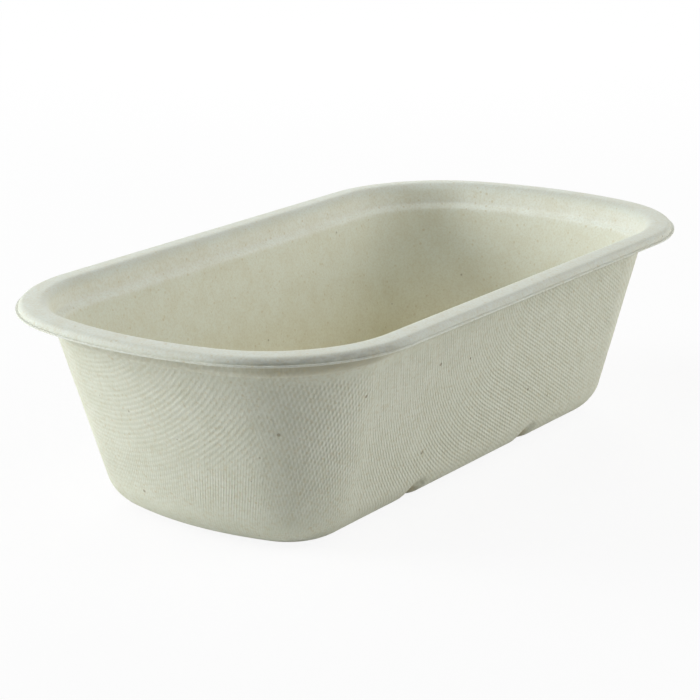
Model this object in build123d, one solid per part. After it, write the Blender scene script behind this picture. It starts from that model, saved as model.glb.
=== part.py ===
from build123d import *
import math
import os

# A disposable rectangular bowl, pressed from plant-fibre pulp as a single moulding.
# It is one sheet of even thickness: a domed lip with a trimmed flange, an upright band,
# a stacking ledge, sloping walls, a rounded foot, a raised floor panel and four vent grooves.
# The origin is the middle of the footprint, on the surface that the bowl stands on.
# +X runs along the bowl, +Y across it and +Z up. Lengths are in millimetres, angles in degrees.

# Overall sizes, at the lip's outermost edge
bowl_height = 62.6
lip_half_length = 113.0
lip_half_width = 62.4
lip_corner_radius = 44.0
lip_end_bow_radius = 120.2

# Outline of the foot, where the outer walls would meet the ground without the foot's rounding
foot_half_length = 85.8
foot_half_width = 38.0
foot_corner_radius = 17.3
foot_end_bow_radius = 89.4
foot_round_radius = 13.2

# The pulp sheet, and the thinner strip that the press leaves outside the trimmed lip
sheet_thickness = 0.9
flange_reach = 0.75
flange_thickness = 0.45

# Bends of the lip, each radius on the hollow side of the sheet
roll_hollow_radius = 1.0
dome_hollow_radius = 54.7
brow_hollow_radius = 2.1
dome_slope = 4.0

# Band and stacking ledge inside the mouth, and the top of the sloping wall below them
band_draft = 6.0
ledge_drop = 6.5
ledge_fall = 38.0
ledge_root_radius = 1.2
ledge_edge_hollow_radius = 0.9
wall_top_drop = 8.4
wall_top_inset = 10.7

# Floor panel, raised above the ring that the bowl stands on
foot_ring_width = 6.0
panel_rise = 1.6
panel_slope = 40.0
panel_corner_radius = 8.0

# Vent grooves, pressed across the foot ring and up the rounding of both long sides
groove_offset = 30.2
groove_depth = 1.3
groove_radius = 9.0
groove_climb = 50.0

# How far a cutting form runs past the face that it cuts
cut_overrun = 4.0


def sine(angle):
    return math.sin(math.radians(angle))


def cosine(angle):
    return math.cos(math.radians(angle))


def slope(angle):
    return math.tan(math.radians(angle))


def wall_draft(lip_half_size, foot_half_size):
    """Lean of a wall from upright, between the foot's outline and the top of the wall."""
    lean = lip_half_size - wall_top_inset - foot_half_size
    return math.degrees(math.atan2(lean, bowl_height - wall_top_drop))


side_draft = wall_draft(lip_half_width, foot_half_width)
end_draft = wall_draft(lip_half_length, foot_half_length)
mean_draft = (side_draft + end_draft) / 2
# The inside of the sheet lies this far in from its outside, measured level
sheet_width = sheet_thickness / cosine(mean_draft)


def outline_wire(sizes, inset, height):
    """Straight long sides, round corners and bowed ends, set in from the outline of `sizes`."""
    half_length, half_width, corner, bow = [size - inset for size in sizes]
    corner_y = half_width - corner
    bow_x = half_length - bow
    corner_x = bow_x + math.sqrt((bow - corner) ** 2 - corner_y**2)
    joint = math.atan2(corner_y, corner_x - bow_x)
    middle = (joint + math.pi / 2) / 2
    joint_x = bow_x + bow * math.cos(joint)
    joint_y = bow * math.sin(joint)
    middle_x = corner_x + corner * math.cos(middle)
    middle_y = corner_y + corner * math.sin(middle)
    edges = []
    for side in (1, -1):
        before = (-side * corner_x, -side * half_width, height)
        start = (side * corner_x, -side * half_width, height)
        lower = (side * joint_x, -side * joint_y, height)
        upper = (side * joint_x, side * joint_y, height)
        finish = (side * corner_x, side * half_width, height)
        edges.append(Line(before, start))
        edges.append(ThreePointArc(start, (side * middle_x, -side * middle_y, height), lower))
        edges.append(ThreePointArc(lower, (side * half_length, 0, height), upper))
        edges.append(ThreePointArc(upper, (side * middle_x, side * middle_y, height), finish))
    return Wire(edges)


def lip_outline(inset, height):
    sizes = (lip_half_length, lip_half_width, lip_corner_radius, lip_end_bow_radius)
    return outline_wire(sizes, inset, height)


def foot_outline(inset, height):
    sizes = (foot_half_length, foot_half_width, foot_corner_radius, foot_end_bow_radius)
    return outline_wire(sizes, inset, height)


def lip_upper_side():
    """Upper side of the sheet, from the flange over the lip and the ledge to the wall.

    In this section x is the inset from the lip's outermost edge and y is the height.
    """
    roll_radius = roll_hollow_radius + sheet_thickness
    dome_radius = dome_hollow_radius + sheet_thickness
    brow_radius = brow_hollow_radius + sheet_thickness
    edge_radius = ledge_edge_hollow_radius + sheet_thickness
    roll_foot = bowl_height - roll_radius * cosine(dome_slope) - dome_radius * (1 - cosine(dome_slope))
    roll = JernArc((flange_reach, roll_foot), (0, 1), roll_radius, dome_slope - 90)
    dome = JernArc(roll @ 1, roll % 1, dome_radius, -dome_slope)
    brow = JernArc(dome @ 1, dome % 1, brow_radius, band_draft - 90)
    band_top = brow @ 1

    root_y = bowl_height - ledge_drop
    root_x = band_top.X + (band_top.Y - root_y) * slope(band_draft)
    wall_x = wall_top_inset + sheet_width
    wall_y = bowl_height - wall_top_drop
    rise = wall_x - root_x - (root_y - wall_y) * slope(mean_draft)
    edge_x = root_x + rise / (1 - slope(ledge_fall) * slope(mean_draft))
    edge_y = root_y - (edge_x - root_x) * slope(ledge_fall)
    run_on = (wall_x + cut_overrun * slope(mean_draft), wall_y - cut_overrun)
    points = [(band_top.X, band_top.Y), (root_x, root_y), (edge_x, edge_y), run_on]
    shelf = FilletPolyline(*points, radius=(ledge_root_radius, edge_radius))
    return Wire([*roll.edges(), *dome.edges(), *brow.edges(), *shelf.edges()])


def lip_section():
    """Closed section of the lip with its flange, cut level where the wall begins."""
    upper = lip_upper_side()
    sheet = Face(upper.offset_2d(sheet_thickness, side=Side.RIGHT, closed=True))
    roll_foot = upper @ 0
    flange_width = flange_reach + sheet_thickness
    flange_place = Pos(flange_width / 2, roll_foot.Y - flange_thickness / 2)
    flange = flange_place * Rectangle(flange_width, flange_thickness)
    below = 2 * cut_overrun
    wall_side = Pos(wall_top_inset, bowl_height - wall_top_drop - below / 2) * Rectangle(2 * below, below)
    return sheet + flange - wall_side


def lip_ring():
    """The lip, band and ledge, swept round the bowl."""
    path = lip_outline(0, 0)
    start = path @ 0
    plane = Plane(origin=start, x_dir=(0, 1, 0), z_dir=path % 0)
    return sweep(plane * lip_section(), path=path)


def tub(inset, floor, wall_inset, round_radius):
    """Solid form of the walls and the rounded foot, up to where the lip ring begins."""
    foot = Face(foot_outline(inset, floor))
    top = Face(lip_outline(wall_inset, bowl_height - wall_top_drop))
    form = loft([foot, top], ruled=True)
    foot_edges = form.edges().group_by(Axis.Z)[0]
    return fillet(foot_edges, round_radius)


def panel(grow):
    """Raised floor panel, as the form that the sheet is pressed over, `grow` thicker all over."""
    flat_inset = foot_round_radius * slope((90 - mean_draft) / 2)
    top_inset = flat_inset + foot_ring_width + panel_rise / slope(panel_slope)
    half_length = foot_half_length - top_inset
    half_width = foot_half_width - top_inset
    sizes = (half_length, half_width, panel_corner_radius, foot_end_bow_radius - top_inset)
    top_outset = grow * slope(panel_slope / 2)
    foot_outset = top_outset + (panel_rise + cut_overrun) / slope(panel_slope)
    lower = Face(outline_wire(sizes, -foot_outset, grow - cut_overrun))
    upper = Face(outline_wire(sizes, -top_outset, grow + panel_rise))
    return loft([lower, upper], ruled=True)


def groove(side_x, side_y, grow):
    """Round-backed vent groove across the foot ring and up the foot's rounding."""
    flat_inset = foot_round_radius * slope((90 - side_draft) / 2)
    bend_y = foot_half_width - flat_inset
    tube_radius = groove_radius + grow
    axis_z = groove_depth - groove_radius
    start = (0, bend_y - foot_ring_width * 2, axis_z)
    run = Line(start, (0, bend_y, axis_z))
    climb_radius = foot_round_radius - axis_z
    end_y = bend_y + climb_radius * sine(groove_climb)
    end_z = foot_round_radius - climb_radius * cosine(groove_climb)
    middle_y = bend_y + climb_radius * sine(groove_climb / 2)
    middle_z = foot_round_radius - climb_radius * cosine(groove_climb / 2)
    climb = ThreePointArc((0, bend_y, axis_z), (0, middle_y, middle_z), (0, end_y, end_z))
    section = Plane(origin=start, z_dir=(0, 1, 0)) * Circle(tube_radius)
    tube = sweep(section, path=Wire([run.edge(), climb.edge()]))
    form = tube + Pos(0, end_y, end_z) * Sphere(tube_radius)
    if side_y < 0:
        form = mirror(form, Plane.XZ)
    return Pos(side_x * groove_offset, 0, 0) * form


def pressed_form(inset, floor, wall_inset, round_radius, grow):
    """Solid form with one face of the sheet: the tub less its floor panel and its grooves."""
    form = tub(inset, floor, wall_inset, round_radius)
    form -= panel(grow)
    for side_x in (-1, 1):
        for side_y in (-1, 1):
            form -= groove(side_x, side_y, grow)
    return form


def bowl_shell():
    """The whole bowl: the outer form hollowed by the inner one, with the lip ring on top."""
    inner_inset = sheet_thickness * slope(45 - mean_draft / 2)
    outside = pressed_form(0, 0, wall_top_inset, foot_round_radius, 0)
    inner_wall_inset = wall_top_inset + sheet_width
    inner_radius = foot_round_radius - sheet_thickness
    inside = pressed_form(inner_inset, sheet_thickness, inner_wall_inset, inner_radius, sheet_thickness)
    return outside - inside + lip_ring()


os.makedirs("parts", exist_ok=True)
export_step(bowl_shell(), "parts/bowl_shell.step")
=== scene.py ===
"""A disposable moulded-pulp bowl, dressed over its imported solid. Lengths are in metres."""
import math

import bmesh
import bpy
from mathutils import Matrix, Vector


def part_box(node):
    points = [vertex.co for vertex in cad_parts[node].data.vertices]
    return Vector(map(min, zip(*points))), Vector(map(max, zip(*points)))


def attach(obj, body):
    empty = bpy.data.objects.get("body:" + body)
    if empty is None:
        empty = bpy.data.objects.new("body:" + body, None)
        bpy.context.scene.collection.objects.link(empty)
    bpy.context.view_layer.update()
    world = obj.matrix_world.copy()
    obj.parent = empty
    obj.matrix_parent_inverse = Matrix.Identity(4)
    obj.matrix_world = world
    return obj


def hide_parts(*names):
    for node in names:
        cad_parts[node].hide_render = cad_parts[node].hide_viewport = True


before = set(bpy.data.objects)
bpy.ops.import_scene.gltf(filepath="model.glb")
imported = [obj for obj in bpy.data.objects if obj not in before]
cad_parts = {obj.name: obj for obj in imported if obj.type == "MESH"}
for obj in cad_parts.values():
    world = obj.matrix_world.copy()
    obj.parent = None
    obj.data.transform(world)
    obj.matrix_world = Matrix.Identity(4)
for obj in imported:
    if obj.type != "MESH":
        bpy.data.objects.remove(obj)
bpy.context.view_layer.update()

MM = 0.001
PER_MM = 1000.0
FULL_TURN = 2 * math.pi
low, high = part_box("bowl_shell")

# The bowl's sizes, as its solid has them
BOWL_HEIGHT = high.z - low.z
LIP_HALF_LENGTH = high.x
LIP_HALF_WIDTH = high.y
LIP_CORNER_RADIUS = 44.0 * MM
LIP_END_BOW_RADIUS = 120.2 * MM
FOOT_HALF_LENGTH = 85.8 * MM
FOOT_HALF_WIDTH = 38.0 * MM
FOOT_CORNER_RADIUS = 17.3 * MM
FOOT_END_BOW_RADIUS = 89.4 * MM
FOOT_ROUND_RADIUS = 13.2 * MM
SHEET = 0.9 * MM
FLANGE_REACH = 0.75 * MM
FLANGE_THICKNESS = 0.45 * MM

# The lip's bends, on the upper side of the sheet
ROLL_RADIUS = 1.9 * MM
DOME_RADIUS = 55.6 * MM
BROW_RADIUS = 3.0 * MM
DOME_SLOPE = math.radians(4)
BAND_DRAFT = math.radians(6)
LEDGE_DROP = 6.5 * MM
LEDGE_FALL = math.radians(38)
LEDGE_ROOT_RADIUS = 1.2 * MM
LEDGE_EDGE_RADIUS = 1.8 * MM
WALL_TOP_DROP = 8.4 * MM
WALL_TOP_INSET = 10.7 * MM

# Floor panel and vent grooves
FOOT_RING_WIDTH = 6.0 * MM
PANEL_RISE = 1.6 * MM
PANEL_SLOPE = math.radians(40)
PANEL_CORNER_RADIUS = 8.0 * MM
GROOVE_OFFSET = 30.2 * MM
GROOVE_DEPTH = 1.3 * MM
GROOVE_REACH = 4.7 * MM
GROOVE_CLIMB = math.radians(50)

# Unevenness of the dried wall, which fades out this near to the foot and the lip
WAVE_HEIGHT = 0.25 * MM
WAVE_LENGTH = 22.0 * MM
WAVE_FADE = 8.0 * MM

# Steps of the sheet's mesh round its outline, closer together at the grooves
SIDE_STEPS = (18, 28, 24, 28, 18)
FINE_SHARE = 0.086
CORNER_STEPS = 32
END_STEPS = 32

# Steps of the mesh along the sheet's section
FLANGE_STEPS = 2
ROLL_STEPS = 9
DOME_STEPS = 5
BROW_STEPS = 10
BAND_STEPS = 3
LEDGE_ROOT_STEPS = 4
LEDGE_EDGE_STEPS = 5
FOOT_STEPS = 24
WALL_CUTS = 21
RING_CUTS = 7

# Edges that are cut into rows on the wall and on the foot ring: least and greatest length, then
# least and greatest height of their middles
WALL_EDGES = (30 * MM, 60 * MM, 20 * MM, 50 * MM)
RING_EDGES = (4 * MM, 8 * MM, 0.8 * MM, 1.0 * MM)

# The foot's outline is drawn this much too low and lifted once it is bridged to the panel's base
DRAWN_LOWER = 1.0 * MM

# What counts as on a groove's line, as the panel's edge, as one place and as one vertex, and the
# angle up to which faces are shaded smooth
GROOVE_LINE_HALF_WIDTH = 0.3 * MM
PANEL_EDGE_MARGIN = 0.1 * MM
SAME_PLACE = 0.01 * MM
WELD_DISTANCE = 0.02 * MM
SMOOTH_ANGLE = math.radians(35)

# From here to the camera, what the materials measure is in millimetres. The distances along the
# wall start at a corner, at half the wall's height, and begin again after half a turn.

# Forming screen: the points that its curved wires are drawn round, and their pitches
END_RINGS = (36.9, 80.6)
END_RING_PITCH = 1.41
SIDE_RINGS = (208.0, 70.0)
SIDE_RING_PITCH = 0.97
SIDE_RING_LIMIT = math.radians(60)

# Straight wires of the screen: lean from level and pitch, and their strength where they cross
END_WIRES = (math.radians(78), 0.82)
CORNER_WIRES = ((math.radians(62), 1.2, 0.9), (math.radians(102), 0.9, 0.9))
SIDE_WIRES = ((math.radians(58), 1.0, 0.35), (math.radians(104), 1.38, 0.45))

# How strongly the rings and the straight wires show, and how that changes low down on the ends
END_RING_STRENGTH = 0.5
END_RING_BREAKS = 0.2
END_RING_LOSS = 0.4
END_WIRE_STRENGTH = 0.15
END_WIRE_GAIN = 0.7
SIDE_RING_STRENGTH = 0.8

# Every pair below, here and for the painted shade and the tones, is where a share starts and where
# it is whole. First come the places where one part of the screen's pattern gives way to the next.
END_TO_CORNER = (84.0, 100.0)
CORNER_TO_SIDE = (114.0, 126.0)
END_LOW_DOWN = (34.0, 16.0)
WORN_ALONG = (226.0, 256.0)
WORN_BELOW = (36.0, 16.0)
RUBBED_BELOW = (15.0, 5.0)
PLAIN_ABOVE = (50.5, 53.5)
PLAIN_AFTER = (92.0, 104.0)
PLAIN_BEFORE = (158.0, 140.0)
WORN_SHARE = 0.75
RUBBED_SHARE = 0.6

# Noises: grain, detail, roughness and flatness, as far as they are given
IMPRINT_FILL = (7, 3.0, 0.6)
# Streaks that break up the painted shade on the lip's roll
LIP_SHADE_STREAKS = (3.0, 3.0, 0.6, 3.0)

# Patches: such a noise, the level that they start from, and their strength
SWAY_ALONG = ((16, 2.0), 0.5, 0.7)
SWAY_UP = ((13, 2.0), 0.5, 0.7)
GRAIN = ((0.75, 2.0, 0.6), 0.5, 1.0)
OUTSIDE_MOTTLING = ((5, 4.0, 0.6), 0.5, 1.5)
OUTSIDE_FIBRES = ((1.1, 3.0, 0.7), 0.48, 1.6)
INSIDE_LUMPS = ((2.2, 4.0, 0.65), 0.5, 0.1)
INSIDE_MOTTLING = ((7, 4.0, 0.65), 0.4, 0.6)
INSIDE_FIBRES = ((0.7, 2.0, 0.6), 0.42, 0.9)

# Specks: spacing, greatest size, share of the places that have one, and strength
OUTSIDE_PALE_SPECKS = (2.1, 0.8, 0.6, 0.4)
OUTSIDE_DARK_SPECKS = (7.0, 1.1, 0.6, 0.6)
INSIDE_PALE_SPECKS = (2.2, 0.9, 0.7, 0.35)
INSIDE_DARK_SPECKS = (6.5, 0.9, 0.5, 0.45)
SMALLEST_SPECK = 0.3
SPECK_EDGE = 0.1

# Imprint and grain on the outside: how full and how high they are, and how they deepen its tone in
# their hollows, partly the pulp's own tone and partly painted shade
FILL_LEAST = 0.4
FILL_SPREAD = 1.3
IMPRINT_HEIGHT = 0.065
GRAIN_HEIGHT = 0.05
MIDDLE_TONE = 0.5
IMPRINT_TONE = 0.45
GRAIN_TONE = 0.8

# Painted shade about a point in the mouth of each groove, where its flanks face away from the lamps
GROOVE_MOUTH_Y = 34.0
GROOVE_MOUTH_Z = 2.4
GROOVE_SHADE_REACH = (5.0, 2.4)
GROOVE_SHADE_GRAIN = 2.0
GROOVE_SHADE_LEAST = 0.35
GROOVE_SHADE_SPREAD = 0.6

# Painted shade under the lip, where its flange shades the outside, strongest at two opposite corners
UNDER_LIP_ABOVE = (53.4, 55.4)
UNDER_LIP_AFTER = (84.0, 98.0)
UNDER_LIP_BEFORE = (130.0, 112.0)
UNDER_LIP_GRAIN = 2.5
UNDER_LIP_LEAST = 0.05
UNDER_LIP_SPREAD = 0.3
UNDER_LIP_CORNER = 0.5

# Heights at which the tone of the inside changes
# Warmer low down, partly the pulp's tone and partly painted warm light bounced about the inside
LOW_BELOW = (44.0, 4.0)
# The band and the ledge are paler, partly their own tone and partly painted light where they catch
# the lamps
BAND_ABOVE = (53.2, 55.0)
LEDGE_ABOVE = (54.1, 54.9)
LEDGE_BELOW = (56.4, 55.5)
LEDGE_SHARE = 0.7
LIP_ABOVE = (59.0, 61.5)

# Painted shade on the lip's outer roll at one corner, where it faces away from the lamps and the
# flange keeps the floor's light off it: height, place along the wall, distance from the corner's
# centre, and level of the streaks in it
LIP_SHADE_ABOVE = (60.2, 60.6)
LIP_SHADE_BELOW = (62.5, 61.6)
LIP_SHADE_AFTER = (80.0, 92.0)
LIP_SHADE_BEFORE = (124.0, 112.0)
LIP_SHADE_OUTSIDE = (39.5, 41.5)
LIP_SHADE_WITHIN = (52.0, 48.0)
LIP_SHADE_STREAK_LEVELS = (0.3, 0.75)
LIP_SHADE_LEAST = 0.25
LIP_SHADE_SPREAD = 0.5

# Dullness of dried pulp
OUTSIDE_ROUGHNESS = 0.85
INSIDE_ROUGHNESS = 0.8
PULP_SPECULAR = 0.25

# Camera: its direction from the bowl, roll and distance, and how far it aims off the middle
CAMERA_AZIMUTH = math.radians(-53.72)
CAMERA_ELEVATION = math.radians(16.41)
CAMERA_ROLL = math.radians(-0.797)
CAMERA_DISTANCE = 638.7 * MM
CAMERA_SHIFT_RIGHT = -5.26 * MM
CAMERA_SHIFT_UP = 1.2 * MM
CAMERA_LENS = 108.2
CAMERA_SENSOR = 36.0
CAMERA_CLIP_START = 10 * MM

# Lamps: degrees round from the camera, positive to its right, degrees up, watts and tint
LAMP_DISTANCE = 1.2
LAMP_SIZE = 0.55
LAMPS = {
    "left_window": (-90, 20, 11.0, (0.965, 0.985, 1.0)),
    "left_high_window": (-90, 55, 1.3, (0.97, 0.985, 1.0)),
    "left_upper_window": (-45, 55, 2.8, (1.0, 1.0, 1.0)),
    "right_window": (90, 20, 5.1, (1.0, 0.99, 0.99)),
    "right_back_window": (120, 20, 2.6, (1.0, 0.99, 0.99)),
    "right_upper_window": (45, 55, 1.4, (1.0, 1.0, 1.0)),
    "back_window": (180, 20, 5.3, (1.0, 1.0, 1.0)),
}

# Room and floor, whose glow grows to plain white between these distances in millimetres
ROOM_LIGHT = 0.03
FLOOR_SIZE = 6.0
FLOOR_GLOW = 0.9
FLOOR_PLAIN_FROM = 300.0
FLOOR_PLAIN_BEYOND = 1100.0
FLOOR_COLOUR = (0.9, 0.9, 0.9, 1.0)
WHITE = (1.0, 1.0, 1.0, 1.0)


def linear(level):
    """A screen's level from 0 to 1 as the share of light that it stands for, by the sRGB curve."""
    if level <= 0.04045:
        return level / 12.92
    return ((level + 0.055) / 1.055) ** 2.4


def colour(red, green, blue):
    """A colour given as it looks on a screen, 0 to 255."""
    return [linear(level / 255) for level in (red, green, blue)] + [1.0]


PULP_OUTSIDE = colour(227, 229, 214)
PULP_OUTSIDE_DEEP = colour(213, 215, 196)
PULP_LIP = colour(221, 226, 216)
# Paler band and ledge: partly the pulp's tone, partly painted light
PULP_BAND = colour(231, 234, 225)
PULP_LEDGE = colour(237, 242, 231)
# Painted shade on the lip's outer roll at one corner
PULP_LIP_SHADE = colour(168, 172, 166)
PULP_INSIDE = colour(223, 226, 212)
# Warmer low inside: partly the pulp's tone, partly painted bounce light
PULP_INSIDE_LOW = colour(230, 226, 201)
FIBRE_PALE = colour(196, 182, 140)
FIBRE_DARK = colour(130, 116, 80)
# Painted shade in the mouths of the grooves, brownish grey
GROOVE_SHADE = colour(168, 152, 112)
# Painted shade under the lip's flange
UNDER_LIP_SHADE = colour(176, 172, 150)


class Outline:
    """Straight long sides, round corners and bowed ends, each arc with its own centre."""

    def __init__(self, half_length, half_width, corner, bow, inset=0.0):
        self.half_length = half_length - inset
        self.half_width = half_width - inset
        self.corner = corner - inset
        self.bow = bow - inset
        self.corner_y = half_width - corner
        self.bow_x = half_length - bow
        reach = math.sqrt((bow - corner) ** 2 - self.corner_y ** 2)
        self.corner_x = self.bow_x + reach
        self.joint = math.atan2(self.corner_y, reach)

    def start(self, height):
        return Vector((-self.corner_x, -self.half_width, height))

    def sweep(self):
        """Carries the selection once round the outline, anticlockwise seen from above."""
        up = (0, 0, 1)
        corner_turn = math.pi / 2 - self.joint
        for side in (1, -1):
            for share, steps in zip(SIDE_SHARES, SIDE_STEPS):
                run((side * share * 2 * self.corner_x, 0, 0), steps)
            turn((side * self.corner_x, -side * self.corner_y, 0), up, corner_turn, CORNER_STEPS)
            turn((side * self.bow_x, 0, 0), up, 2 * self.joint, END_STEPS)
            turn((side * self.corner_x, side * self.corner_y, 0), up, corner_turn, CORNER_STEPS)
        bpy.ops.mesh.select_all(action="SELECT")
        bpy.ops.mesh.remove_doubles(threshold=WELD_DISTANCE)
        bpy.ops.mesh.select_all(action="DESELECT")


def wall_draft(lip_half_size, foot_half_size):
    lean = lip_half_size - WALL_TOP_INSET - foot_half_size
    return math.atan2(lean, WALL_TOP_Z)


def halfway(foot_size, lip_size):
    return (foot_size + lip_size - WALL_TOP_INSET) / 2


FOOT_Z = SHEET
LOW_FOOT_Z = FOOT_Z - DRAWN_LOWER
PANEL_Z = SHEET + PANEL_RISE
WALL_TOP_Z = BOWL_HEIGHT - WALL_TOP_DROP
BOWL_MIDDLE = Vector((0, 0, BOWL_HEIGHT / 2))
DOME_DROP = DOME_RADIUS * (1 - math.cos(DOME_SLOPE))
FLANGE_Z = BOWL_HEIGHT - ROLL_RADIUS * math.cos(DOME_SLOPE) - DOME_DROP
SIDE_DRAFT = wall_draft(LIP_HALF_WIDTH, FOOT_HALF_WIDTH)
END_DRAFT = wall_draft(LIP_HALF_LENGTH, FOOT_HALF_LENGTH)
MEAN_DRAFT = (SIDE_DRAFT + END_DRAFT) / 2
WALL_INSET = WALL_TOP_INSET + SHEET / math.cos(MEAN_DRAFT)
INNER_INSET = SHEET * math.tan(math.pi / 4 - MEAN_DRAFT / 2)
FLAT_INSET = FOOT_ROUND_RADIUS * math.tan((math.pi / 2 - MEAN_DRAFT) / 2)
PANEL_SLOPE_WIDTH = PANEL_RISE / math.tan(PANEL_SLOPE)
PANEL_INSET = FLAT_INSET + FOOT_RING_WIDTH + PANEL_SLOPE_WIDTH
PANEL_OUTSET = SHEET * math.tan(PANEL_SLOPE / 2)
PANEL_SIZES = (
    FOOT_HALF_LENGTH - PANEL_INSET, FOOT_HALF_WIDTH - PANEL_INSET, PANEL_CORNER_RADIUS,
    FOOT_END_BOW_RADIUS - PANEL_INSET)
FOOT_SIZES = (FOOT_HALF_LENGTH, FOOT_HALF_WIDTH, FOOT_CORNER_RADIUS, FOOT_END_BOW_RADIUS)
LIP = Outline(LIP_HALF_LENGTH, LIP_HALF_WIDTH, LIP_CORNER_RADIUS, LIP_END_BOW_RADIUS)
FOOT = Outline(*FOOT_SIZES, inset=INNER_INSET)
PANEL_BASE = Outline(*PANEL_SIZES, inset=-PANEL_OUTSET - PANEL_SLOPE_WIDTH)
PANEL_TOP = Outline(*PANEL_SIZES, inset=-PANEL_OUTSET)

# Shares of a long side's length, with the finer steps at its two grooves
GROOVE_SHARE = (FOOT.corner_x - GROOVE_OFFSET) / (2 * FOOT.corner_x)
OUTER_SHARE = GROOVE_SHARE - FINE_SHARE / 2
MIDDLE_SHARE = 1 - 2 * OUTER_SHARE - 2 * FINE_SHARE
SIDE_SHARES = (OUTER_SHARE, FINE_SHARE, MIDDLE_SHARE, FINE_SHARE, OUTER_SHARE)

# The outline at half the wall's height, along which the screen's pattern is measured
MIDDLE = Outline(
    halfway(FOOT_HALF_LENGTH, LIP_HALF_LENGTH), halfway(FOOT_HALF_WIDTH, LIP_HALF_WIDTH),
    halfway(FOOT_CORNER_RADIUS, LIP_CORNER_RADIUS),
    halfway(FOOT_END_BOW_RADIUS, LIP_END_BOW_RADIUS))
CORNER_RUN = MIDDLE.corner * (math.pi / 2 - MIDDLE.joint)
END_RUN = MIDDLE.bow * 2 * MIDDLE.joint
SIDE_RUN = 2 * MIDDLE.corner_x
HALF_ROUND = CORNER_RUN + END_RUN + CORNER_RUN + SIDE_RUN


def select_only(piece):
    bpy.ops.object.select_all(action="DESELECT")
    bpy.context.view_layer.objects.active = piece
    piece.select_set(True)


def edit(piece):
    select_only(piece)
    bpy.ops.object.mode_set(mode="EDIT")


def finish_edit():
    bpy.ops.object.mode_set(mode="OBJECT")


def one_vertex(name, place):
    """A plane merged to the one vertex that a section is drawn from."""
    bpy.ops.object.select_all(action="DESELECT")
    bpy.ops.mesh.primitive_plane_add(size=MM, location=place)
    piece = bpy.context.object
    piece.name = name
    bpy.ops.object.transform_apply(location=True, rotation=True, scale=True)
    edit(piece)
    bpy.ops.mesh.select_all(action="SELECT")
    bpy.ops.mesh.merge(type="CENTER")
    return piece


def add_vertex(place):
    """Another starting vertex in the mesh that is being edited."""
    bpy.ops.mesh.select_mode(type="VERT")
    bpy.ops.mesh.select_all(action="DESELECT")
    bpy.ops.mesh.primitive_plane_add(size=MM, location=place)
    bpy.ops.mesh.merge(type="CENTER")


def run(offset, steps=1):
    """Draws the selection on in a straight line."""
    step = Vector(offset) / steps
    for _ in range(steps):
        bpy.ops.mesh.extrude_region_move(TRANSFORM_OT_translate={"value": step})


def turn(centre, axis, angle, steps):
    """Draws the selection on round an axis."""
    bpy.ops.mesh.spin(steps=steps, angle=-angle, center=centre, axis=axis)


def select_where(piece, test, kind="VERT"):
    """Selects the vertices, or the edges with both their ends, that pass the test."""
    bpy.ops.mesh.select_mode(type=kind)
    bpy.ops.mesh.select_all(action="DESELECT")
    shape = bmesh.from_edit_mesh(piece.data)
    parts = shape.verts if kind == "VERT" else shape.edges
    for part in parts:
        ends = [part] if kind == "VERT" else part.verts
        part.select = all(test(end.co) for end in ends)
    shape.select_flush_mode()
    bmesh.update_edit_mesh(piece.data)


def bridge(piece, test):
    select_where(piece, test, "EDGE")
    bpy.ops.mesh.bridge_edge_loops(type="SINGLE", number_cuts=0, interpolation="LINEAR")


def near(value, target):
    return abs(value - target) < SAME_PLACE


def section_arc(inset, height, angle, steps):
    """Bends the lip's section on about a centre; a positive angle turns it down and inwards."""
    centre = (-LIP.corner_x, inset - LIP.half_width, height)
    turn(centre, (1, 0, 0), -angle, steps)


def section_line(inset, fall, steps=1):
    run((0, inset, -fall), steps)


def draw_lip_section():
    """The upper side of the sheet: flange, roll, dome, brow, band, ledge and the top of the wall."""
    section_line(FLANGE_REACH, 0, FLANGE_STEPS)
    section_arc(FLANGE_REACH + ROLL_RADIUS, FLANGE_Z, math.pi / 2 - DOME_SLOPE, ROLL_STEPS)
    slope_sine = math.sin(DOME_SLOPE)
    ridge = FLANGE_REACH + ROLL_RADIUS * (1 - slope_sine) + DOME_RADIUS * slope_sine
    section_arc(ridge, BOWL_HEIGHT - DOME_RADIUS, DOME_SLOPE, DOME_STEPS)
    section_arc(ridge, BOWL_HEIGHT - BROW_RADIUS, math.pi / 2 - BAND_DRAFT, BROW_STEPS)
    draw_ledge_section(ridge)


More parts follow.
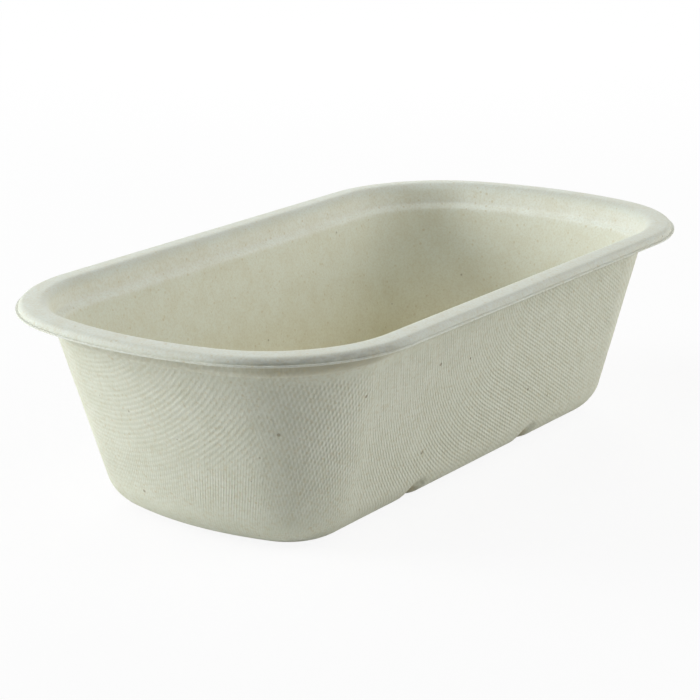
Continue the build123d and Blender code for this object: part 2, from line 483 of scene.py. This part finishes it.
def draw_ledge_section(ridge):
    """The band, the sloping ledge under it and the short piece of wall that the lip ends with."""
    band_sine, band_cosine = math.sin(BAND_DRAFT), math.cos(BAND_DRAFT)
    fall_sine, fall_cosine = math.sin(LEDGE_FALL), math.cos(LEDGE_FALL)
    band_inset = ridge + BROW_RADIUS * band_cosine
    band_z = BOWL_HEIGHT - BROW_RADIUS * (1 - band_sine)
    root_z = BOWL_HEIGHT - LEDGE_DROP
    root_inset = band_inset + (band_z - root_z) * math.tan(BAND_DRAFT)
    lean = math.tan(MEAN_DRAFT)
    fall = math.tan(LEDGE_FALL)
    ledge_reach = (WALL_INSET - root_inset - (root_z - WALL_TOP_Z) * lean) / (1 - fall * lean)
    edge_inset = root_inset + ledge_reach
    edge_z = root_z - ledge_reach * fall
    root_turn = math.pi / 2 - BAND_DRAFT - LEDGE_FALL
    edge_turn = math.pi / 2 - MEAN_DRAFT - LEDGE_FALL
    root_cut = LEDGE_ROOT_RADIUS * math.tan(root_turn / 2)
    edge_cut = LEDGE_EDGE_RADIUS * math.tan(edge_turn / 2)

    band_length = (band_z - root_z) / band_cosine - root_cut
    section_line(band_length * band_sine, band_length * band_cosine, BAND_STEPS)
    centre_inset = root_inset - root_cut * band_sine + LEDGE_ROOT_RADIUS * band_cosine
    centre_z = root_z + root_cut * band_cosine + LEDGE_ROOT_RADIUS * band_sine
    section_arc(centre_inset, centre_z, -root_turn, LEDGE_ROOT_STEPS)
    ledge_length = ledge_reach / fall_cosine - root_cut - edge_cut
    section_line(ledge_length * fall_cosine, ledge_length * fall_sine)
    centre_inset = edge_inset - edge_cut * fall_cosine - LEDGE_EDGE_RADIUS * fall_sine
    centre_z = edge_z + edge_cut * fall_sine - LEDGE_EDGE_RADIUS * fall_cosine
    section_arc(centre_inset, centre_z, edge_turn, LEDGE_EDGE_STEPS)
    wall_length = edge_z - edge_cut * math.cos(MEAN_DRAFT) - WALL_TOP_Z
    section_line(wall_length * lean, wall_length)


def pressed_skin():
    """The upper side of the whole bowl as one skin, from the flange to the floor panel."""
    piece = one_vertex("pulp_bowl", LIP.start(FLANGE_Z))
    draw_lip_section()
    bpy.ops.mesh.select_all(action="SELECT")
    LIP.sweep()
    for outline, height in ((FOOT, LOW_FOOT_Z), (PANEL_BASE, FOOT_Z), (PANEL_TOP, PANEL_Z)):
        add_vertex(outline.start(height))
        outline.sweep()
    join_outlines(piece)
    face_upwards(piece)
    round_the_foot(piece)
    cut_rows(piece)
    press_grooves(piece)
    finish_edit()
    return piece


def join_outlines(piece):
    """Fills the floor panel's top and joins the outlines, from it out to the top of the wall."""
    select_where(piece, lambda co: near(co.z, PANEL_Z), "EDGE")
    bpy.ops.mesh.edge_face_add()
    bridge(piece, lambda co: near(co.z, PANEL_Z) or near(co.z, FOOT_Z))
    bridge(piece, lambda co: near(co.z, FOOT_Z) or near(co.z, LOW_FOOT_Z))
    bridge(piece, lambda co: near(co.z, WALL_TOP_Z) or near(co.z, LOW_FOOT_Z))
    select_where(piece, lambda co: near(co.z, LOW_FOOT_Z))
    bpy.ops.transform.translate(value=(0, 0, DRAWN_LOWER))


def face_upwards(piece):
    """Turns every face of the skin to the inside of the bowl, as the floor panel must look."""
    bpy.ops.mesh.select_all(action="SELECT")
    bpy.ops.mesh.normals_make_consistent(inside=False)
    shape = bmesh.from_edit_mesh(piece.data)
    panel = max(shape.faces, key=lambda face: len(face.verts))
    panel.normal_update()
    if panel.normal.z < 0:
        bpy.ops.mesh.flip_normals()


def round_the_foot(piece):
    """Rolls the wall over into the floor, with the inner radius of the bent sheet."""

    def on_foot(co):
        outside = abs(co.y) > PANEL_BASE.half_width + MM or abs(co.x) > PANEL_BASE.half_length + MM
        return near(co.z, FOOT_Z) and outside

    select_where(piece, on_foot, "EDGE")
    reach = (FOOT_ROUND_RADIUS - SHEET) * math.tan((math.pi / 2 - MEAN_DRAFT) / 2)
    bpy.ops.mesh.bevel(
        offset=reach, offset_type="OFFSET", segments=FOOT_STEPS, profile=0.5, affect="EDGES",
        clamp_overlap=False)


def select_rising(piece, shortest, longest, lowest, highest):
    """Selects the edges that cross the rows, by their length and the height of their middles."""
    bpy.ops.mesh.select_mode(type="EDGE")
    bpy.ops.mesh.select_all(action="DESELECT")
    shape = bmesh.from_edit_mesh(piece.data)
    for edge in shape.edges:
        middle = (edge.verts[0].co + edge.verts[1].co) / 2
        edge.select = shortest < edge.calc_length() < longest and lowest < middle.z < highest
    bmesh.update_edit_mesh(piece.data)


def cut_rows(piece):
    """Cuts the tall faces of the wall, and the wide ones of the foot ring, into rows."""
    select_rising(piece, *WALL_EDGES)
    bpy.ops.mesh.subdivide(number_cuts=WALL_CUTS)
    select_rising(piece, *RING_EDGES)
    bpy.ops.mesh.subdivide(number_cuts=RING_CUTS)


def press_grooves(piece):
    """Pushes the four vent grooves into the foot ring and its rounding, along their normals."""
    climb = FOOT_ROUND_RADIUS - (FOOT_ROUND_RADIUS - SHEET) * math.cos(GROOVE_CLIMB)
    panel_side = PANEL_BASE.half_width

    def on_groove(co):
        on_line = abs(abs(co.x) - GROOVE_OFFSET) < GROOVE_LINE_HALF_WIDTH
        return on_line and co.z < climb and abs(co.y) > panel_side - PANEL_EDGE_MARGIN

    select_where(piece, lambda co: near(co.z, PANEL_Z) and abs(co.y) < panel_side)
    bpy.ops.mesh.hide(unselected=False)
    select_where(piece, on_groove)
    bpy.ops.transform.shrink_fatten(
        value=GROOVE_DEPTH, use_proportional_edit=True, proportional_edit_falloff="INVERSE_SQUARE",
        proportional_size=GROOVE_REACH)
    bpy.ops.mesh.reveal(select=False)


def dry_unevenly(piece):
    """Slight waves in the wall, which is free between the foot and the lip as the pulp dries."""
    free = piece.vertex_groups.new(name="free")
    for vertex in piece.data.vertices:
        share = min(vertex.co.z - FOOT_ROUND_RADIUS, WALL_TOP_Z - vertex.co.z) / WAVE_FADE
        free.add([vertex.index], max(0.0, min(1.0, share)), "REPLACE")
    waves = bpy.data.textures.new("waves", "CLOUDS")
    waves.noise_scale = WAVE_LENGTH
    push = piece.modifiers.new("waves", "DISPLACE")
    push.texture = waves
    push.strength = WAVE_HEIGHT
    push.mid_level = 0.5
    push.vertex_group = "free"
    select_only(piece)
    bpy.ops.object.modifier_apply(modifier="waves")


def thicken(piece):
    """Gives the skin the thickness of the sheet, thinner at the trimmed flange."""
    sheet = piece.vertex_groups.new(name="sheet")
    for vertex in piece.data.vertices:
        flange = near(vertex.co.z, FLANGE_Z)
        sheet.add([vertex.index], FLANGE_THICKNESS / SHEET if flange else 1.0, "REPLACE")
    wall = piece.modifiers.new("sheet", "SOLIDIFY")
    wall.thickness = SHEET
    wall.offset = -1.0
    wall.use_even_offset = True
    wall.vertex_group = "sheet"
    wall.material_offset = 1
    wall.material_offset_rim = 0
    select_only(piece)
    bpy.ops.object.modifier_apply(modifier="sheet")


def flatten_foot(piece):
    """Sets the underside of the foot ring dead level on the ground."""
    edit(piece)
    select_where(piece, lambda co: co.z < SAME_PLACE)
    bpy.ops.transform.resize(value=(1, 1, 0), center_override=(0, 0, 0))
    finish_edit()


def way_round(x, y):
    """Distance along the wall from the start of a corner on the left, repeated after half a turn."""
    if x > MIDDLE.corner_x or (y > 0 and x > -MIDDLE.corner_x):
        x, y = -x, -y
    if x >= -MIDDLE.corner_x:
        return CORNER_RUN + END_RUN + CORNER_RUN + x + MIDDLE.corner_x
    angle = math.atan2(-y, -x - MIDDLE.bow_x)
    if abs(angle) <= MIDDLE.joint:
        return CORNER_RUN + END_RUN / 2 + MIDDLE.bow * angle
    out_x = -x - MIDDLE.corner_x
    if y > 0:
        return MIDDLE.corner * math.atan2(out_x, y - MIDDLE.corner_y)
    turned = math.atan2(-y - MIDDLE.corner_y, out_x) - MIDDLE.joint
    return CORNER_RUN + END_RUN + MIDDLE.corner * turned


def unroll_wall(piece):
    """A flat pattern of the wall: u runs round the bowl and v up it, both in metres."""
    pattern = piece.data.uv_layers[0]
    pattern.name = "wall"
    corners = piece.data.vertices
    for face in piece.data.polygons:
        middle = way_round(face.center.x, face.center.y)
        for loop in face.loop_indices:
            place = corners[piece.data.loops[loop].vertex_index].co
            along = way_round(place.x, place.y)
            if along - middle > HALF_ROUND / 2:
                along -= HALF_ROUND
            elif middle - along > HALF_ROUND / 2:
                along += HALF_ROUND
            pattern.data[loop].uv = (along, place.z)


class Mix:
    """A value that varies over a surface; sums and products of it add their own nodes."""

    def __init__(self, finish, socket):
        self.finish = finish
        self.socket = socket

    def _math(self, operation, *values):
        return self.finish.node("ShaderNodeMath", {"operation": operation}, values)

    def __add__(self, other):
        return self._math("ADD", self, other)

    def __sub__(self, other):
        return self._math("SUBTRACT", self, other)

    def __mul__(self, other):
        return self._math("MULTIPLY", self, other)

    def __lt__(self, other):
        return self._math("LESS_THAN", self, other)

    def __radd__(self, other):
        return self._math("ADD", other, self)

    def __rsub__(self, other):
        return self._math("SUBTRACT", other, self)

    def __rmul__(self, other):
        return self._math("MULTIPLY", other, self)

    def __neg__(self):
        return self._math("MULTIPLY", self, -1.0)

    def size(self):
        return self._math("ABSOLUTE", self)

    def root(self):
        return self._math("SQRT", self)

    def wave(self):
        return self._math("SINE", self)

    def most(self, other):
        return self._math("MAXIMUM", self, other)

    def step(self, start, end):
        """0 at the start and 1 at the end, eased between them; the start may be the higher one."""
        return self.finish.node(
            "ShaderNodeMapRange", {"interpolation_type": "SMOOTHSTEP"},
            {"Value": self, "From Min": start, "From Max": end}, "Result")


class Finish:
    """A material and the nodes that feed its shader."""

    def __init__(self, name, tree=None):
        if tree is None:
            self.material = bpy.data.materials.new(name)
            self.material.use_nodes = True
            tree = self.material.node_tree
        self.tree = tree
        self.tree.nodes.clear()

    def feed(self, node, name, value):
        socket = value.socket if isinstance(value, Mix) else value
        if isinstance(socket, bpy.types.NodeSocket):
            self.tree.links.new(socket, node.inputs[name])
        else:
            node.inputs[name].default_value = socket

    def node(self, kind, settings, values, output=0):
        """Adds a node, sets it up, feeds it and returns one of its outputs."""
        node = self.tree.nodes.new(kind)
        for setting, value in settings.items():
            setattr(node, setting, value)
        pairs = values.items() if isinstance(values, dict) else enumerate(values)
        for name, value in pairs:
            self.feed(node, name, value)
        return Mix(self, node.outputs[output] if len(node.outputs) else None)

    def pulp(self, tone, roughness, normal):
        """The dull surface of dried pulp."""
        return self.node("ShaderNodeBsdfPrincipled", {}, {
            "Base Color": tone, "Roughness": roughness, "Specular IOR Level": PULP_SPECULAR,
            "Normal": normal})

    def place(self, axis, coordinates="Object"):
        return self.part(self.node("ShaderNodeTexCoord", {}, {}, coordinates), axis) * PER_MM

    def part(self, vector, axis):
        return self.node("ShaderNodeSeparateXYZ", {}, {"Vector": vector}, axis)

    def noise(self, grain, detail=2.0, roughness=0.5, flatten=1.0):
        """Soft noise from 0 to 1, with grains of this many millimetres that may be flattened."""
        where = self.node("ShaderNodeTexCoord", {}, {}, "Object")
        if flatten != 1.0:
            squeeze = (1, 1, flatten)
            where = self.node("ShaderNodeVectorMath", {"operation": "MULTIPLY"}, (where, squeeze))
        values = {"Vector": where, "Scale": PER_MM / grain, "Detail": detail, "Roughness": roughness}
        return self.node("ShaderNodeTexNoise", {}, values, "Fac")

    def patches(self, noise, start, strength):
        """What a noise has above a level; below it the patches are negative."""
        return strength * (self.noise(*noise) - start)

    def specks(self, spacing, size, share, strength):
        """Specks up to this size, in this share of cells as large as the spacing."""
        where = self.node("ShaderNodeTexCoord", {}, {}, "Object")
        values = {"Vector": where, "Scale": PER_MM / spacing}
        reach = self.node("ShaderNodeTexVoronoi", {}, values, "Distance") * spacing
        chance = self.node("ShaderNodeTexVoronoi", {}, values, "Color")
        radius = (self.part(chance, "Y") * (1 - SMALLEST_SPECK) + SMALLEST_SPECK) * (size / 2)
        speck = (reach - radius).step(SPECK_EDGE, -SPECK_EDGE)
        return strength * speck * (self.part(chance, "X") < share)

    def blend(self, share, first, second):
        """Mixes two colours, which are this node's values 6 and 7, into its output 2."""
        return self.node("ShaderNodeMix", {"data_type": "RGBA"}, {0: share, 6: first, 7: second}, 2)

    def relief(self, height):
        """A normal that follows heights in millimetres."""
        return self.node("ShaderNodeBump", {}, {"Height": height, "Distance": MM}, "Normal")

    def end(self, shader, kind="ShaderNodeOutputMaterial"):
        self.node(kind, {}, {"Surface": shader})

    def seen(self):
        """1 for what the camera sees, also in a mirror or through glass."""
        straight, mirrored, through = [
            self.node("ShaderNodeLightPath", {}, {}, "Is %s Ray" % kind)
            for kind in ("Camera", "Glossy", "Transmission")]
        return straight.most(mirrored).most(through)


def distance(*offsets):
    """Length of the line that has these offsets along the axes."""
    return sum(offset * offset for offset in offsets).root()


def wires(along, up, lean, pitch):
    """Straight wires of the screen that lean from level by an angle."""
    return ((up * math.cos(lean) - along * math.sin(lean)) * (FULL_TURN / pitch)).wave()


def crossed_wires(along, up, families):
    """Families of straight wires, each with its lean, pitch and strength."""
    return sum(wires(along, up, lean, pitch) * strength for lean, pitch, strength in families)


def ring_wires(along, up, centre, pitch):
    """Wires drawn round a point of the wall."""
    return (distance(along - centre[0], up - centre[1]) * (FULL_TURN / pitch)).wave()


def side_ring_wires(along, up):
    """Wires that curve round a point, and run on straight beyond a ray from it."""
    out_x = along - SIDE_RINGS[0]
    out_y = up - SIDE_RINGS[1]
    sine, cosine = math.sin(SIDE_RING_LIMIT), math.cos(SIDE_RING_LIMIT)
    beyond = (out_y * cosine - out_x * sine) < 0.0
    curved = distance(out_x, out_y)
    straight = -(out_x * cosine + out_y * sine)
    return ((curved + beyond * (straight - curved)) * (FULL_TURN / SIDE_RING_PITCH)).wave()


def screen_wires(along, up):
    """Relief of the screen's wires: curved on the ends and the sides, crossed at the corners."""
    weave = wires(along, up, *END_WIRES)
    low_down = up.step(*END_LOW_DOWN)
    rings = ring_wires(along, up, END_RINGS, END_RING_PITCH)
    rings = rings * (END_RING_STRENGTH + weave * END_RING_BREAKS) * (1 - low_down * END_RING_LOSS)
    on_end = rings + weave * (END_WIRE_STRENGTH + low_down * END_WIRE_GAIN)
    on_corner = crossed_wires(along, up, CORNER_WIRES)
    side_rings = side_ring_wires(along, up) * SIDE_RING_STRENGTH
    on_side = side_rings + crossed_wires(along, up, SIDE_WIRES)
    near_end = on_end + along.step(*END_TO_CORNER) * (on_corner - on_end)
    return near_end + along.step(*CORNER_TO_SIDE) * (on_side - near_end)


def screen_imprint(finish):
    """Relief left by the forming screen on the outside of the wall, about -1 to 1 high."""
    along = finish.place("X", "UV") + finish.patches(*SWAY_ALONG)
    up = finish.place("Y", "UV") + finish.patches(*SWAY_UP)
    worn = along.step(*WORN_ALONG) * up.step(*WORN_BELOW) * WORN_SHARE
    rubbed = up.step(*RUBBED_BELOW) * RUBBED_SHARE
    plain = up.step(*PLAIN_ABOVE) * along.step(*PLAIN_AFTER) * along.step(*PLAIN_BEFORE)
    fill = finish.noise(*IMPRINT_FILL) * FILL_SPREAD + FILL_LEAST
    return screen_wires(along, up) * (1 - worn) * (1 - rubbed) * (1 - plain) * fill


def groove_painted_shade(finish, tone):
    """Adds painted shade in the mouth of each groove, the shade in its hollow."""
    from_mouth = distance(
        finish.place("X").size() - GROOVE_OFFSET * PER_MM,
        finish.place("Y").size() - GROOVE_MOUTH_Y,
        finish.place("Z") - GROOVE_MOUTH_Z)
    uneven = GROOVE_SHADE_LEAST + finish.noise(GROOVE_SHADE_GRAIN) * GROOVE_SHADE_SPREAD
    return finish.blend(from_mouth.step(*GROOVE_SHADE_REACH) * uneven, tone, GROOVE_SHADE)


def under_lip_painted_shade(finish, tone):
    """Adds painted shade in a rim where the outside bends in under the lip and its flange."""
    along = finish.place("X", "UV")
    on_corner = along.step(*UNDER_LIP_AFTER) * along.step(*UNDER_LIP_BEFORE)
    uneven = UNDER_LIP_LEAST + finish.noise(UNDER_LIP_GRAIN) * UNDER_LIP_SPREAD
    share = finish.place("Z").step(*UNDER_LIP_ABOVE) * (uneven + on_corner * UNDER_LIP_CORNER)
    return finish.blend(share, tone, UNDER_LIP_SHADE)


def outside_finish():
    """Outside of the bowl: pale pulp with the screen's imprint, fibres and a few dark specks, with
    painted shade in the grooves' mouths, under the lip and partly in the imprint's hollows.
    """
    finish = Finish("pulp_outside")
    grain = finish.patches(*GRAIN)
    imprint = screen_imprint(finish)
    # Darker in the hollows of the imprint and the grain: partly the pulp's tone, partly painted
    # shade
    deep = finish.patches(*OUTSIDE_MOTTLING) - imprint * IMPRINT_TONE - grain * GRAIN_TONE
    tone = finish.blend(deep + MIDDLE_TONE, PULP_OUTSIDE, PULP_OUTSIDE_DEEP)
    # Painted shade in the mouths of the grooves
    tone = groove_painted_shade(finish, tone)
    # Painted shade under the lip
    tone = under_lip_painted_shade(finish, tone)
    tone = finish.blend(finish.patches(*OUTSIDE_FIBRES), tone, FIBRE_PALE)
    tone = finish.blend(finish.specks(*OUTSIDE_PALE_SPECKS), tone, FIBRE_PALE)
    tone = finish.blend(finish.specks(*OUTSIDE_DARK_SPECKS), tone, FIBRE_DARK)
    relief = finish.relief(imprint * IMPRINT_HEIGHT + grain * GRAIN_HEIGHT)
    finish.end(finish.pulp(tone, OUTSIDE_ROUGHNESS, relief))
    return finish.material


def lip_painted_shade(finish, up, tone):
    """Adds streaky painted shade on the outer roll of the lip at one corner, where little light
    reaches it.
    """
    from_corner = distance(
        finish.place("X") + LIP.corner_x * PER_MM, finish.place("Y") + LIP.corner_y * PER_MM)
    on_roll = from_corner.step(*LIP_SHADE_OUTSIDE) * from_corner.step(*LIP_SHADE_WITHIN)
    on_roll = on_roll * up.step(*LIP_SHADE_ABOVE) * up.step(*LIP_SHADE_BELOW)
    along = finish.place("X", "UV")
    on_corner = along.step(*LIP_SHADE_AFTER) * along.step(*LIP_SHADE_BEFORE)
    uneven = LIP_SHADE_LEAST + finish.noise(*LIP_SHADE_STREAKS).step(*LIP_SHADE_STREAK_LEVELS) * LIP_SHADE_SPREAD
    return finish.blend(on_roll * on_corner * uneven, tone, PULP_LIP_SHADE)


def inside_finish():
    """Inside of the bowl and its lip: smoother pulp, whiter on the lip, warmer low down partly as
    painted bounce light, paler on the band and the ledge partly as painted light, and painted shade
    on the lip's roll at one corner.
    """
    finish = Finish("pulp_inside")
    up = finish.place("Z")
    on_ledge = up.step(*LEDGE_ABOVE) * up.step(*LEDGE_BELOW) * LEDGE_SHARE
    # Warmer low down, partly painted bounce light
    tone = finish.blend(up.step(*LOW_BELOW), PULP_INSIDE, PULP_INSIDE_LOW)
    # Paler band and ledge, partly painted light
    tone = finish.blend(up.step(*BAND_ABOVE), tone, PULP_BAND)
    tone = finish.blend(on_ledge, tone, PULP_LEDGE)
    tone = finish.blend(up.step(*LIP_ABOVE), tone, PULP_LIP)
    # Painted shade on the lip's outer roll at one corner
    tone = lip_painted_shade(finish, up, tone)
    for patches in (INSIDE_MOTTLING, INSIDE_FIBRES):
        tone = finish.blend(finish.patches(*patches), tone, FIBRE_PALE)
    tone = finish.blend(finish.specks(*INSIDE_PALE_SPECKS), tone, FIBRE_PALE)
    tone = finish.blend(finish.specks(*INSIDE_DARK_SPECKS), tone, FIBRE_DARK)
    relief = finish.relief(finish.patches(*INSIDE_LUMPS))
    finish.end(finish.pulp(tone, INSIDE_ROUGHNESS, relief))
    return finish.material


def direction(azimuth, elevation):
    """The way from the bowl to the camera or to a lamp."""
    level = math.cos(elevation)
    return Vector((math.sin(azimuth) * level, -math.cos(azimuth) * level, math.sin(elevation)))


def camera_axes():
    """Right, up and back of the camera, turned by its roll."""
    back = direction(CAMERA_AZIMUTH, CAMERA_ELEVATION)
    level = Vector((math.cos(CAMERA_AZIMUTH), math.sin(CAMERA_AZIMUTH), 0))
    rise = back.cross(level)
    sine_r, cosine_r = math.sin(CAMERA_ROLL), math.cos(CAMERA_ROLL)
    return level * cosine_r + rise * sine_r, rise * cosine_r - level * sine_r, back


def add_camera():
    right, up, back = camera_axes()
    aim = BOWL_MIDDLE + right * CAMERA_SHIFT_RIGHT + up * CAMERA_SHIFT_UP
    bpy.ops.object.camera_add(location=aim + back * CAMERA_DISTANCE)
    camera = bpy.context.object
    camera.rotation_euler = Matrix((right, up, back)).transposed().to_euler()
    camera.data.sensor_width = CAMERA_SENSOR
    camera.data.lens = CAMERA_LENS
    camera.data.clip_start = CAMERA_CLIP_START
    bpy.context.scene.camera = camera


def add_lamp(name, round_degrees, up_degrees, power, tint):
    """A soft window that looks at the bowl from a direction round the camera's own."""
    way = direction(CAMERA_AZIMUTH + math.radians(round_degrees), math.radians(up_degrees))
    bpy.ops.object.light_add(type="AREA", location=way * LAMP_DISTANCE + BOWL_MIDDLE)
    lamp = bpy.context.object
    lamp.name = name
    lamp.data.shape = "SQUARE"
    lamp.data.size = LAMP_SIZE
    lamp.data.energy = power
    lamp.data.color = tint
    lamp.rotation_euler = (-way).to_track_quat("-Z", "Y").to_euler()
    lamp.visible_camera = False


def white_room():
    """A hardly lit room that is seen as plain white behind the bowl."""
    world = bpy.data.worlds.new("room")
    world.use_nodes = True
    bpy.context.scene.world = world
    finish = Finish("room", world.node_tree)
    lit = finish.node("ShaderNodeBackground", {}, {"Color": WHITE, "Strength": ROOM_LIGHT})
    shown = finish.node("ShaderNodeBackground", {}, {"Color": WHITE, "Strength": 1.0})
    mixed = finish.node("ShaderNodeMixShader", {}, (finish.seen(), lit, shown))
    finish.end(mixed, "ShaderNodeOutputWorld")


def white_floor():
    """A white table that keeps a faint shadow of the bowl, and is plain white further off."""
    bpy.ops.mesh.primitive_plane_add(size=FLOOR_SIZE, location=(0, 0, 0))
    floor = bpy.context.object
    floor.name = "table"
    finish = Finish("table_white")
    table = finish.node("ShaderNodeBsdfDiffuse", {}, {"Color": FLOOR_COLOUR})
    white = finish.node("ShaderNodeEmission", {}, {"Color": WHITE, "Strength": 1.0})
    from_bowl = distance(finish.place("X"), finish.place("Y"))
    far_off = from_bowl.step(FLOOR_PLAIN_FROM, FLOOR_PLAIN_BEYOND)
    glow = far_off * (1 - FLOOR_GLOW) + FLOOR_GLOW
    finish.end(finish.node("ShaderNodeMixShader", {}, (finish.seen() * glow, table, white)))
    floor.data.materials.append(finish.material)


bowl = pressed_skin()
bowl.data.materials.append(inside_finish())
bowl.data.materials.append(outside_finish())
dry_unevenly(bowl)
thicken(bowl)
flatten_foot(bowl)
unroll_wall(bowl)
bpy.ops.object.shade_smooth_by_angle(angle=SMOOTH_ANGLE)
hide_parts("bowl_shell")
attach(bowl, "root")

white_floor()
white_room()
add_camera()
for name, lamp in LAMPS.items():
    add_lamp(name, *lamp)
bpy.context.scene.view_settings.view_transform = "Standard"
